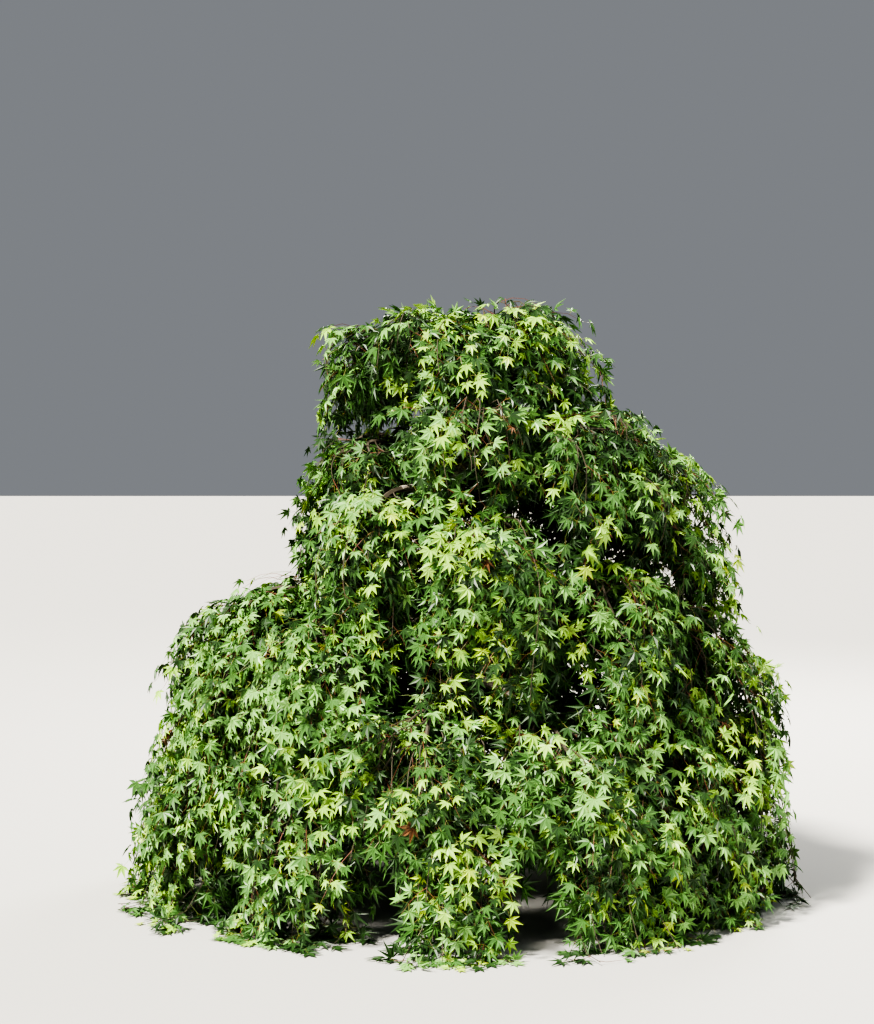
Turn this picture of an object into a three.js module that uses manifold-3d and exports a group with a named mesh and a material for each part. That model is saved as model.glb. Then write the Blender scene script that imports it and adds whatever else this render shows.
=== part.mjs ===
// A weeping Japanese maple, rooted in level ground: one tapering trunk with a flared foot, boughs that
// arch out of it at four heights, and a mass of foliage that cascades from the tip of each bough.
// Millimetres, +Z up. The origin is the middle of the flat cut under the trunk. -Y is the front, and a
// bearing is measured in degrees from +X towards +Y, so that 270 degrees is the front.
import * as THREE from "three";
import Module from "manifold-3d";

const wasm = await Module();
wasm.setup();

// Driving dimensions of the trunk and the boughs
const TRUNK_HEIGHT = 1620;
const TRUNK_FOOT_RADIUS = 47;
const TRUNK_TIP_RADIUS = 15;
const TRUNK_TAPER = 0.9;
const TRUNK_SIDES = 12;
const TRUNK_RING_HEIGHTS = [0, 20, 48, 90, 160, 320, 540, 780, 1020, 1240, 1440, 1590, TRUNK_HEIGHT];
const SWAY = 30;
const SWAY_TURN_X = 5.2;
const SWAY_TURN_Y = 4.1;
const SWAY_SHARE_Y = 0.7;
const ROOT_FLARE = 42;
const ROOT_FLARE_HEIGHT = 70;
const ROOT_LOBES = 5;
const ROOT_LOBE_DEPTH = 0.45;
const BOUGH_SIDES = 5;
const BOUGH_STEPS = 4;
const BOUGH_FOOT_SHARE = 0.62;
const BOUGH_FOOT_LEAST = 13;
const BOUGH_TIP_RADIUS = 10;
const BOUGH_TAPER = 0.8;
const BOUGH_LEAVE = 0.34;
const BOUGH_RISE = 0.26;
const BOUGH_ARRIVE = 0.36;
const BOUGH_WIND = 0.05;
const FORK_STEP = 55;

// Driving dimensions of the shoots. Ends, starts and partings are shares of the way along the arch, and a
// pair of numbers is a range that the seeded draws choose from.
const STEM_RADIUS = 10.5;
const STEM_STEPS = 4;
const STEM_START = 25;
const STEM_END = [0.86, 0.94];
const RUNNERS = 2;
const RUNNER_RADIUS = 4.8;
const RUNNER_STEPS = 3;
const RUNNER_SIDE = [0.56, 0.7];
const RUNNER_START = [0.1, 0.26];
const RUNNER_START_STEP = 0.12;
const RUNNER_END = [0.89, 0.97];
const RUNNER_LIFT = [-20, 14];
const RUNNER_PARTING = 0.35;
const SHOOT_TIP_RADIUS = 4;
const SHOOT_SIDES = 3;

// Driving dimensions of the leaves. A leaf stands for a spray of real ones, so it is larger than life.
// LEAF_HEART and LEAF_DROOP are shares of its middle lobe, and LEAF_ROOT is a share of its shoot's radius.
const LEAF_LOBE = 156;
const LEAF_SIZE = [0.9, 1.1];
const LEAF_THICKNESS = 6;
const LEAF_HEART = 0.42;
const LEAF_DROOP = 0.16;
const LEAF_ROOT = 0.2;
const LEAF_TURN = 48;
const LEAF_TURN_CHANGE = [-22, 22];
const LEAF_LEAN = [0.45, 0.9];
const LEAF_SHARE = [0.14, 0.98];
const LEAF_SHARE_CHANGE = [-0.04, 0.04];
const LEAF_ATTEMPTS = 12;
const LEAF_SHRINK = 0.04;
const CLEARANCE = 0.3;
const GROUND_CLEARANCE = 3;
const SIDE_ROOM = 60;
const HEAD_ROOM = 100;

// Each tier's usual mass. fork is where its bough leaves the trunk, tipReach and tipHeight are where the
// bough ends, crest is the top of the arch, reach its furthest distance from the trunk's axis, hem the
// height at which its shoots end, spread half the angle that it covers, and bulge how far its sides fall
// away. flare is how far the arch runs outwards over the ground.
const TIERS = {
  top: {
    fork: 1490, tipReach: 105, tipHeight: 1705, crest: 1825, reach: 365, hem: 1620, spread: 32, bulge: 50,
    flare: 0, leaves: 4,
  },
  shoulder: {
    fork: 1330, tipReach: 190, tipHeight: 1415, crest: 1480, reach: 480, hem: 1180, spread: 26, bulge: 50,
    flare: 0, leaves: 4,
  },
  waist: {
    fork: 1060, tipReach: 320, tipHeight: 1110, crest: 1190, reach: 620, hem: 830, spread: 20, bulge: 60,
    flare: 0, leaves: 5,
  },
  skirt: {
    fork: 780, tipReach: 380, tipHeight: 800, crest: 850, reach: 890, hem: 26, spread: 17, bulge: 70,
    flare: 110, leaves: 6,
  },
};

// The masses, with their bearings and what sets each apart from the usual one of its tier. The first word
// of the name is the tier.
const MASSES = [
  { name: "top_left", bearing: 181, tipHeight: 1665, crest: 1765, reach: 345, hem: 1570 },
  { name: "top_front_left", bearing: 250, hem: 1670 },
  { name: "top_front_right", bearing: 318, crest: 1845, reach: 345 },
  { name: "top_right", bearing: 30, crest: 1820, reach: 330 },
  { name: "top_back", bearing: 103, crest: 1830, reach: 385, spread: 34 },
  { name: "shoulder_left", bearing: 205, crest: 1450, reach: 390 },
  { name: "shoulder_front", bearing: 274, fork: 1410, tipHeight: 1470, crest: 1560, hem: 1380 },
  { name: "shoulder_front_right", bearing: 320, tipHeight: 1450, crest: 1515, reach: 670, spread: 20 },
  {
    name: "shoulder_right", bearing: 358, tipHeight: 1440, crest: 1510, reach: 765, hem: 920, flare: 120,
    spread: 20,
  },
  {
    name: "shoulder_back_right", bearing: 40, tipHeight: 1430, crest: 1500, reach: 690, hem: 970,
    spread: 22,
  },
  { name: "shoulder_back", bearing: 88, crest: 1490, reach: 610, hem: 920 },
  { name: "shoulder_back_left", bearing: 142, fork: 1280, crest: 1460, reach: 540, hem: 940 },
  { name: "waist_left", bearing: 238, fork: 1240, tipHeight: 1310, crest: 1250, reach: 580, hem: 820 },
  { name: "waist_front", bearing: 284, tipHeight: 1150, crest: 1230, reach: 650, hem: 730 },
  { name: "waist_right", bearing: 324, fork: 960, tipHeight: 990, crest: 1060, reach: 775, hem: 700 },
  { name: "skirt_left", bearing: 195, tipHeight: 910, crest: 965, reach: 880, flare: 150, spread: 18 },
  { name: "skirt_left_front", bearing: 227, tipHeight: 850, crest: 900, reach: 800, spread: 19 },
  { name: "skirt_front", bearing: 263, fork: 640, tipHeight: 600, crest: 650, spread: 14 },
  { name: "skirt_front_right", bearing: 296, fork: 560, tipHeight: 560, crest: 610, spread: 15 },
  { name: "skirt_right_front", bearing: 327, fork: 660, tipHeight: 590, crest: 640, spread: 15 },
  {
    name: "skirt_right", bearing: 358, tipHeight: 880, crest: 940, reach: 945, hem: 60, flare: 80,
    spread: 18,
  },
  { name: "skirt_right_back", bearing: 36, tipHeight: 840, crest: 890, reach: 930, flare: 80, spread: 18 },
  { name: "skirt_back_right", bearing: 75, tipHeight: 860, crest: 920, reach: 870, spread: 19 },
  { name: "skirt_back", bearing: 115, tipHeight: 870, crest: 940, reach: 860, spread: 20 },
  { name: "skirt_back_left", bearing: 155, fork: 720, tipHeight: 870, crest: 930, spread: 20 },
].map((mass, index) => {
  const tier = TIERS[mass.name.split("_")[0]];
  return { ...tier, fork: tier.fork + FORK_STEP * (index % 3), ...mass, seed: 101 + 17 * index };
});

const BARK = new THREE.MeshStandardMaterial({ color: 0x8a7f70, roughness: 0.9, metalness: 0 });
const FOLIAGE = new THREE.MeshStandardMaterial({ color: 0x5d9136, roughness: 0.55, metalness: 0 });

const UP = new THREE.Vector3(0, 0, 1);
const mix = (a, b, share) => a + (b - a) * share;
const between = ([low, high], draw) => mix(low, high, draw());
const clamp01 = (x) => Math.min(1, Math.max(0, x));
const smooth = (x) => clamp01(x) ** 2 * (3 - 2 * clamp01(x));
const radians = THREE.MathUtils.degToRad;
const degrees = THREE.MathUtils.radToDeg;

// A seeded stream of numbers from 0 to 1.
function drawsFrom(seed) {
  let state = seed >>> 0;
  return () => {
    state = (state + 0x6d2b79f5) >>> 0;
    let t = state;
    t = Math.imul(t ^ (t >>> 15), t | 1);
    t ^= t + Math.imul(t ^ (t >>> 7), t | 61);
    return ((t ^ (t >>> 14)) >>> 0) / 4294967296;
  };
}

// A closed solid from points and the triangles between them.
function solidFrom(points, triangles) {
  const vertProperties = new Float32Array(points.flatMap((p) => [p.x, p.y, p.z]));
  const triVerts = new Uint32Array(triangles);
  return new wasm.Manifold(new wasm.Mesh({ numProp: 3, vertProperties, triVerts }));
}

// A closed tube through rings of points, capped at both ends.
function tubeThrough(rings) {
  const sides = rings[0].length;
  const last = (rings.length - 1) * sides;
  const triangles = [];
  for (let start = 0; start < last; start += sides)
    for (let i = 0; i < sides; i++) {
      const a = start + i;
      const b = start + ((i + 1) % sides);
      triangles.push(a, b, b + sides, a, b + sides, a + sides);
    }
  for (let i = 1; i + 1 < sides; i++) triangles.push(0, i + 1, i, last, last + i, last + i + 1);
  return solidFrom(rings.flat(), triangles);
}

// A tapering limb along a line of points, with a radius at each.
function limbAlong(points, radii, sides) {
  let normal = new THREE.Vector3(0.31, 0.72, 0.62);
  const rings = points.map((point, k) => {
    const ahead = points[Math.min(k + 1, points.length - 1)];
    const behind = points[Math.max(k - 1, 0)];
    const along = ahead.clone().sub(behind).normalize();
    normal = normal.clone().addScaledVector(along, -normal.dot(along)).normalize();
    const binormal = along.clone().cross(normal);
    return Array.from({ length: sides }, (_, i) => {
      const angle = (2 * Math.PI * i) / sides;
      const ring = point.clone().addScaledVector(normal, radii[k] * Math.cos(angle));
      return ring.addScaledVector(binormal, radii[k] * Math.sin(angle));
    });
  });
  return tubeThrough(rings);
}

// The level direction away from the trunk at a bearing.
const awayAt = (bearing) => new THREE.Vector3(Math.cos(radians(bearing)), Math.sin(radians(bearing)), 0);

// The middle of the trunk at a height: it winds a little on its way up.
function trunkAxis(z) {
  const share = z / TRUNK_HEIGHT;
  const sway = SWAY * smooth(share * 3);
  const y = SWAY_SHARE_Y * sway * Math.sin(SWAY_TURN_Y * share + 0.6);
  return new THREE.Vector3(sway * Math.sin(SWAY_TURN_X * share), y, z);
}

function trunkRadius(z) {
  return mix(TRUNK_FOOT_RADIUS, TRUNK_TIP_RADIUS, (z / TRUNK_HEIGHT) ** TRUNK_TAPER);
}

// The trunk, with level rings. The root flare stands out of the lowest ones in broad lobes, and extra
// makes it thicker all over.
function trunkSolid(extra) {
  const rings = TRUNK_RING_HEIGHTS.map((z) => {
    const axis = trunkAxis(z);
    const flare = ROOT_FLARE * Math.exp(-z / ROOT_FLARE_HEIGHT);
    return Array.from({ length: TRUNK_SIDES }, (_, i) => {
      const angle = (2 * Math.PI * i) / TRUNK_SIDES;
      const lobes = 1 + ROOT_LOBE_DEPTH * Math.cos(ROOT_LOBES * angle + 0.8);
      const radius = trunkRadius(z) + flare * lobes + extra;
      return new THREE.Vector3(axis.x + radius * Math.cos(angle), axis.y + radius * Math.sin(angle), z);
    });
  });
  return tubeThrough(rings);
}

// The arch of a mass, as a curve of distance from the trunk and height: from the bough's tip over the
// crest at a third of the way, then out and down to the hem.
function archOf(mass) {
  const { tipReach, tipHeight, crest, reach, hem, flare } = mass;
  const fallHeight = mix(crest, hem, 0.25);
  const riseHeight = (27 * crest - 8 * tipHeight - 6 * fallHeight - hem) / 12;
  return new THREE.CubicBezierCurve(
    new THREE.Vector2(tipReach, tipHeight),
    new THREE.Vector2(mix(tipReach, reach, 0.7), riseHeight),
    new THREE.Vector2(reach - flare / 2, fallHeight),
    new THREE.Vector2(reach + flare / 2, hem),
  );
}

// A place in a mass: share is how far along the arch it is, side how far to one side, from -1 to 1, and
// lift how far outside the arch.
function placeIn(mass, share, side, lift) {
  const arch = archOf(mass);
  const on = arch.getPoint(share);
  const along = arch.getTangent(share);
  const out = lift - mass.bulge * side * side * smooth(share * 2.5);
  const bearing = mass.bearing + side * mass.spread * (0.35 + 0.65 * smooth(share * 2));
  const place = awayAt(bearing).multiplyScalar(on.x - along.y * out);
  return place.setZ(Math.max(on.y + along.x * out, GROUND_CLEARANCE + 2 * RUNNER_RADIUS));
}

// A point of a shoot, share of the way along it, with the shoot's direction there.
function spotOn(shoot, share) {
  const steps = shoot.points.length - 1;
  const k = Math.min(Math.floor(share * steps), steps - 1);
  const [from, to] = [shoot.points[k], shoot.points[k + 1]];
  const part = share * steps - k;
  const radius = mix(shoot.radii[k], shoot.radii[k + 1], part);
  return { at: from.clone().lerp(to, part), along: to.clone().sub(from).normalize(), radius };
}

// A shoot through its points, tapering to its tip.
function shootThrough(points, footRadius) {
  const steps = points.length - 1;
  const radii = points.map((_, k) => mix(footRadius, SHOOT_TIP_RADIUS, k / steps));
  return { points, radii, solid: limbAlong(points, radii, SHOOT_SIDES) };
}

// The stem of a mass: from just past the bough's tip, along the arch to near the hem.
function stemOf(mass, bough, draw) {
  const end = between(STEM_END, draw);
  const shares = Array.from({ length: STEM_STEPS + 1 }, (_, k) => (end * k) / STEM_STEPS);
  const points = shares.map((share) => placeIn(mass, share, 0, 0));
  points[0] = bough.tip.clone().addScaledVector(bough.end, CLEARANCE);
  points.splice(1, 0, bough.tip.clone().addScaledVector(bough.end, STEM_START));
  return { ...shootThrough(points, STEM_RADIUS), end };
}

// A runner: it leaves the stem, parts to its own side and hangs to the hem.
function runnerOf(mass, stem, index, draw) {
  const side = (index % 2 ? 1 : -1) * between(RUNNER_SIDE, draw);
  const start = between(RUNNER_START, draw) + RUNNER_START_STEP * (index % 2);
  const end = between(RUNNER_END, draw);
  const lift = between(RUNNER_LIFT, draw);
  const points = Array.from({ length: RUNNER_STEPS + 1 }, (_, k) => {
    const share = mix(start, end, k / RUNNER_STEPS);
    const parting = Math.sin((Math.PI / 2) * clamp01((share - start) / RUNNER_PARTING));
    return placeIn(mass, share, side * parting, lift * parting);
  });
  points[0] = spotOn(stem, start / stem.end).at;
  return shootThrough(points, RUNNER_RADIUS);
}

// A thin leaf with five pointed lobes, as a flat double pyramid. foot is the root of its stalk, along
// points to its middle tip and out is the way that its face looks. The lobes droop away from that side.
const LOBES = [
  { turn: -90, reach: 0.76 },
  { turn: -65, reach: 0.55 },
  { turn: -44, reach: 0.93 },
  { turn: -22, reach: 0.6 },
  { turn: 0, reach: 1 },
  { turn: 22, reach: 0.6 },
  { turn: 44, reach: 0.93 },
  { turn: 65, reach: 0.55 },
  { turn: 90, reach: 0.76 },
];
function leafSolid(foot, along, out, lobe) {
  const across = along.clone().cross(out);
  const heart = foot.clone().addScaledVector(along, LEAF_HEART * lobe);
  const rim = LOBES.map(({ turn, reach }) =>
    heart
      .clone()
      .addScaledVector(along, reach * lobe * Math.cos(radians(turn)))
      .addScaledVector(across, reach * lobe * Math.sin(radians(turn)))
      .addScaledVector(out, -LEAF_DROOP * lobe * reach * reach),
  );
  rim.push(foot);
  const face = heart.clone().addScaledVector(out, LEAF_THICKNESS / 2);
  const back = heart.clone().addScaledVector(out, -LEAF_THICKNESS / 2);
  const triangles = rim.flatMap((_, i) => {
    const next = (i + 1) % rim.length;
    return [rim.length, next, i, rim.length + 1, i, next];
  });
  return { solid: solidFrom([...rim, face, back], triangles), rim };
}

// True if the points are between the ground and the top of their mass, and inside the angle it keeps to.
function insideSpace(mass, points) {
  return points.every((p) => {
    const turn = Math.abs(((degrees(Math.atan2(p.y, p.x)) - mass.bearing + 540) % 360) - 180);
    const sideways = turn < mass.spread + degrees(SIDE_ROOM / Math.hypot(p.x, p.y));
    return sideways && p.z > GROUND_CLEARANCE && p.z < mass.crest + HEAD_ROOM;
  });
}

// A solid with its box, so that most pairs need no closer look.
const asPiece = (solid) => ({ solid, box: solid.boundingBox() });

const boxesMeet = (a, b) => [0, 1, 2].every((i) => a.min[i] < b.max[i] && b.min[i] < a.max[i]);

// True if a solid reaches into any of the pieces.
function touches(solid, pieces) {
  const near = pieces.filter((piece) => boxesMeet(piece.box, solid.boundingBox()));
  return near.some((piece) => solid.intersect(piece.solid).volume() > 0);
}

// The largest piece of a solid, with nothing loose beside it and no hollow inside it.
function largestPiece(solid) {
  return solid.decompose().reduce((best, piece) => (piece.volume() > best.volume() ? piece : best));
}

// A bough: out of the trunk at its fork, and over to its tip, where it points the way its mass goes on.
function boughOf(mass) {
  const draw = drawsFrom(mass.seed + 5000);
  const away = awayAt(mass.bearing);
  const across = away.clone().cross(UP);
  const arrival = archOf(mass).getTangent(0);
  const root = trunkAxis(mass.fork);
  const tip = away.clone().multiplyScalar(mass.tipReach).setZ(mass.tipHeight);
  const length = tip.distanceTo(root);
  const leave = root.clone().addScaledVector(away, BOUGH_LEAVE * length);
  leave.addScaledVector(UP, BOUGH_RISE * length);
  const arrive = tip.clone().addScaledVector(away, -BOUGH_ARRIVE * length * arrival.x);
  arrive.addScaledVector(UP, -BOUGH_ARRIVE * length * arrival.y);
  const wind = mix(-BOUGH_WIND, BOUGH_WIND, draw()) * length;
  const points = new THREE.CubicBezierCurve3(root, leave, arrive, tip).getPoints(BOUGH_STEPS);
  points.forEach((p, k) => p.addScaledVector(across, wind * Math.sin((Math.PI * k) / BOUGH_STEPS)));
  const foot = Math.max(BOUGH_FOOT_LEAST, BOUGH_FOOT_SHARE * trunkRadius(mass.fork));
  const radii = points.map((_, k) => mix(foot, BOUGH_TIP_RADIUS, (k / BOUGH_STEPS) ** BOUGH_TAPER));
  const solid = largestPiece(limbAlong(points, radii, BOUGH_SIDES).subtract(trunkRoom));
  return { solid, tip, end: tip.clone().sub(points[BOUGH_STEPS - 1]).normalize() };
}

// A leaf on a shoot, share of the way along it and turned to one side. Near the ground it is turned
// outwards, until its tips stay clear.
function leafOn(shoot, share, turn, lean, lobe) {
  const { at, along, radius } = spotOn(shoot, share);
  const away = at.clone().setZ(0).normalize();
  const out = away.clone().cross(UP).cross(along).normalize();
  const side = along.clone().cross(out);
  const way = along.clone().multiplyScalar(Math.cos(radians(turn)));
  way.addScaledVector(side, Math.sin(radians(turn))).addScaledVector(out, lean).normalize();
  const dip = clamp01((at.z - GROUND_CLEARANCE - LEAF_DROOP * lobe - 4) / (lobe * (1 + LEAF_HEART)));
  if (way.z < -dip) {
    way.addScaledVector(away, -dip - way.z).setZ(0).setLength(Math.sqrt(1 - dip * dip)).setZ(-dip);
    out.lerp(UP, 0.7 * (1 - dip));
  }
  out.addScaledVector(way, -out.dot(way)).normalize();
  return leafSolid(at.addScaledVector(way, -LEAF_ROOT * radius), way, out, lobe);
}

// The stem of a mass and the runners that clear what is there.
function shootsOf({ mass, stem, draw }, taken) {
  const runners = Array.from({ length: RUNNERS }, (_, index) => runnerOf(mass, stem, index, draw));
  return [stem, ...runners.filter((runner) => !touches(runner.solid, taken))];
}

// A leaf's place on its shoot: in turn to the left and right, with the last one at the tip.
function leafPlace(index, count, draw) {
  const turn = between(LEAF_TURN_CHANGE, draw);
  if (index === count - 1) return { share: 0.99, turn };
  const share = mix(...LEAF_SHARE, index / (count - 1)) + between(LEAF_SHARE_CHANGE, draw);
  return { share, turn: turn + (index % 2 ? LEAF_TURN : -LEAF_TURN) };
}

// A leaf that would leave the mass's space or touch anything but its own shoot is turned and made a
// little smaller, and in the end left out.
function leafThatFits(mass, shoot, index, draw, clearOf) {
  for (let attempt = 0; attempt < LEAF_ATTEMPTS; attempt++) {
    const { share, turn } = leafPlace(index, mass.leaves, draw);
    const lobe = LEAF_LOBE * between(LEAF_SIZE, draw) * (1 - LEAF_SHRINK * attempt);
    const leaf = leafOn(shoot, share, turn, between(LEAF_LEAN, draw), lobe);
    if (insideSpace(mass, leaf.rim) && !touches(leaf.solid, clearOf)) return [asPiece(leaf.solid)];
  }
  return [];
}

// A mass: its stem and runners, with the leaves that fit on each, all in one solid.
function massSolid(growth, taken) {
  const { mass, draw } = growth;
  const shoots = shootsOf(growth, taken);
  const leaves = [];
  for (const shoot of shoots) {
    const others = shoots.filter((other) => other !== shoot).map((other) => asPiece(other.solid));
    for (let index = 0; index < mass.leaves; index++)
      leaves.push(...leafThatFits(mass, shoot, index, draw, [...taken, ...others, ...leaves]));
  }
  const solids = [...shoots, ...leaves].map((piece) => piece.solid);
  return largestPiece(solids.reduce((sum, solid) => sum.add(solid)));
}

function meshOf(name, solid, material) {
  const { numProp, vertProperties, triVerts } = solid.getMesh();
  const positions = vertProperties.filter((_, i) => i % numProp < 3);
  const geometry = new THREE.BufferGeometry();
  geometry.setAttribute("position", new THREE.BufferAttribute(positions, 3));
  geometry.setIndex(new THREE.BufferAttribute(triVerts, 1));
  const mesh = new THREE.Mesh(geometry, material);
  mesh.name = name;
  return mesh;
}

const trunkRoom = trunkSolid(CLEARANCE);
const growths = MASSES.map((mass) => {
  const draw = drawsFrom(mass.seed);
  const bough = boughOf(mass);
  return { mass, draw, bough, stem: stemOf(mass, bough, draw) };
});
const wood = growths.flatMap(({ bough, stem }) => [bough.solid, stem.solid]);
const taken = [trunkRoom, ...wood].map((solid) => asPiece(solid));

const maple = new THREE.Group();
maple.add(meshOf("trunk", trunkSolid(0), BARK));
for (const growth of growths) {
  const { mass, bough, stem } = growth;
  maple.add(meshOf("bough_" + mass.name, bough.solid, BARK));
  const solid = massSolid(growth, taken.filter((piece) => piece.solid !== stem.solid));
  taken.push(asPiece(solid));
  maple.add(meshOf("foliage_" + mass.name, solid, FOLIAGE));
}

export default maple;
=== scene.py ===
# The looks of a weeping Japanese maple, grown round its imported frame: bark with relief on the trunk and the
# boughs, and in place of each mass of foliage the stems, runners, side shoots and leaves that hang in it.
# Metres, +Z up. The origin is under the trunk at ground level, -Y is the front, and a bearing is measured in
# degrees from +X towards +Y.
import math

import bpy
import numpy as np
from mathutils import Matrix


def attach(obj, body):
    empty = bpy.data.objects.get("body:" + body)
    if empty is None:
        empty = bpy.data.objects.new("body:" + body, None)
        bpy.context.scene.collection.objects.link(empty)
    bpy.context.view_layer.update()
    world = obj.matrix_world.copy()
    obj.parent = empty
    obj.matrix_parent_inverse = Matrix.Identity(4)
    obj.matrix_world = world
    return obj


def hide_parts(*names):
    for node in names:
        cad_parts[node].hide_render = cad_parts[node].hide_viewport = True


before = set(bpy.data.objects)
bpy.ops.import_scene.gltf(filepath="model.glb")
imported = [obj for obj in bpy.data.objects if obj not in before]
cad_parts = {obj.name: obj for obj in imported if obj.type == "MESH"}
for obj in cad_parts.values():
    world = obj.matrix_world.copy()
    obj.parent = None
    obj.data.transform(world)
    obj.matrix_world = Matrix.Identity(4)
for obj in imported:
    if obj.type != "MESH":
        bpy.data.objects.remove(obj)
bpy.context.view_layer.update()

# The view: eye level, in front of the plant and a little to the left of its foot
CAMERA_PLACE = (-0.0576, -7.6, 1.6)
CAMERA_DIP = 2.82
FOCAL_PIXELS = 2375
IMAGE_HEIGHT = 1024
SENSOR_HEIGHT = 36

# The trunk and the boughs
TRUNK_HEIGHT = 1.62
TRUNK_FOOT_RADIUS = 0.047
TRUNK_TIP_RADIUS = 0.015
TRUNK_TAPER = 0.9
SWAY = 0.03
SWAY_TURN_X = 5.2
SWAY_TURN_Y = 4.1
SWAY_SHARE_Y = 0.7
SWAY_PHASE_Y = 0.6
SWAY_ONSET = 3
ROOT_FLARE = 0.042
ROOT_FLARE_HEIGHT = 0.07
ROOT_LOBES = 5
ROOT_LOBE_DEPTH = 0.45
ROOT_LOBE_PHASE = 0.8
BOUGH_FOOT_SHARE = 0.62
BOUGH_FOOT_LEAST = 0.013
BOUGH_TIP_RADIUS = 0.01
BOUGH_TAPER = 0.8
BOUGH_LEAVE = 0.34
BOUGH_RISE = 0.26
BOUGH_ARRIVE = 0.36
BOUGH_WIND = 0.05
FORK_STEP = 0.055
FORK_STEPS = 3

# The bark's relief: the crests that its waves have round a limb, how far they wander along it and how deep
# the furrows between them are, with the knots of the trunk, and the collars and nodes of the boughs
TRUNK_SIDES = 64
TRUNK_RINGS = 200
RING_CROWDING = 1.15
TRUNK_WAVES = (5, 8, 11, 14)
TRUNK_WANDER = 2.2
TRUNK_FURROW = (0.0024, 0.0009)
TRUNK_GRAIN_RADIUS = 0.04
KNOT_DEPTH = 0.03
KNOT_TURNS = (3, 14, 23)
KNOT_PHASE = 1.3
BOUGH_SIDES = 14
BOUGH_RINGS = 56
BOUGH_WAVES = (3, 5, 7)
BOUGH_WANDER = 1.6
BOUGH_FURROW = 0.0008
BOUGH_FURROW_RATE = 2
BOUGH_GRAIN_RADIUS = 0.02
COLLAR_SWELL = 0.3
COLLAR_LENGTH = 0.02
NODE_SWELL = 0.05
NODE_GAP = (0.05, 0.08)
NODE_SHARPNESS = 8
WAVE_SPEED = (0.6, 1.4)
WAVE_STRENGTH = (0.6, 1)
WANDER_TURNS = (9, 31)
WANDER_RIPPLE = 0.4
FURROW_WIDTH = 0.5

# The stem and the first two runners. Ends, starts and partings are shares of the way along the arch, and a
# pair of numbers is mostly a range that the seeded draws choose from.
STEM_RADIUS = 0.0105
STEM_TIP_RADIUS = 0.002
STEM_END = (0.86, 0.94)
RUNNERS = 2
RUNNER_RADIUS = 0.0048
RUNNER_SIDE = (0.56, 0.7)
RUNNER_START = (0.1, 0.26)
RUNNER_START_STEP = 0.12
RUNNER_END = (0.89, 0.97)
RUNNER_LIFT = (-0.02, 0.014)
RUNNER_PARTING = 0.35

# The arch of a mass, the room that the mass keeps to, and how it trails over the ground
ARCH_KNEE = 0.7
ARCH_FALL = 0.25
BULGE_ONSET = 2.5
SPREAD_FOOT = 0.35
SPREAD_ONSET = 2
HEAD_ROOM = 0.055
SIDE_ROOM = 0.06
SHOOT_ROOM = 0.1
GROUND_CLEARANCE = 0.003
TRAIL = 0.8
TRAIL_MOST = 0.05
TRAIL_ROOM = 0.03
TRAIL_HEIGHT = 0.2

# The seeds: the first mass's, the step from mass to mass, what a bough's and its bark's add to it, and those
# of the trunk's bark and of the lumps
MASS_SEED = 101
SEED_STEP = 17
BOUGH_SEED = 5000
BOUGH_BARK_SEED = 7
TRUNK_BARK_SEED = 11
LUMP_SEED = 5

# Each tier's usual mass, and the masses by name and bearing with what sets each apart. ends is the range in
# which the finer runners end, and lumps are as wide and as high as each swell of the foliage.
TIERS = {
    "top": dict(fork=1.49, tip_reach=0.105, tip_height=1.705, crest=1.825, reach=0.365, hem=1.62,
                spread=32, bulge=0.05, flare=0.0, runners=14, ends=(0.8, 1.14), lumps=(0.34, 0.19)),
    "shoulder": dict(fork=1.33, tip_reach=0.19, tip_height=1.415, crest=1.48, reach=0.48, hem=1.18,
                     spread=26, bulge=0.05, flare=0.0, runners=15, ends=(0.8, 1.14), lumps=(0.32, 0.2)),
    "waist": dict(fork=1.06, tip_reach=0.32, tip_height=1.11, crest=1.19, reach=0.62, hem=0.83,
                  spread=20, bulge=0.06, flare=0.0, runners=15, ends=(0.8, 1.14), lumps=(0.26, 0.3)),
    "skirt": dict(fork=0.78, tip_reach=0.38, tip_height=0.8, crest=0.85, reach=0.89, hem=0.026,
                  spread=17, bulge=0.07, flare=0.11, runners=18, ends=(0.93, 1.12), lumps=(0.22, 0.6)),
}
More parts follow.
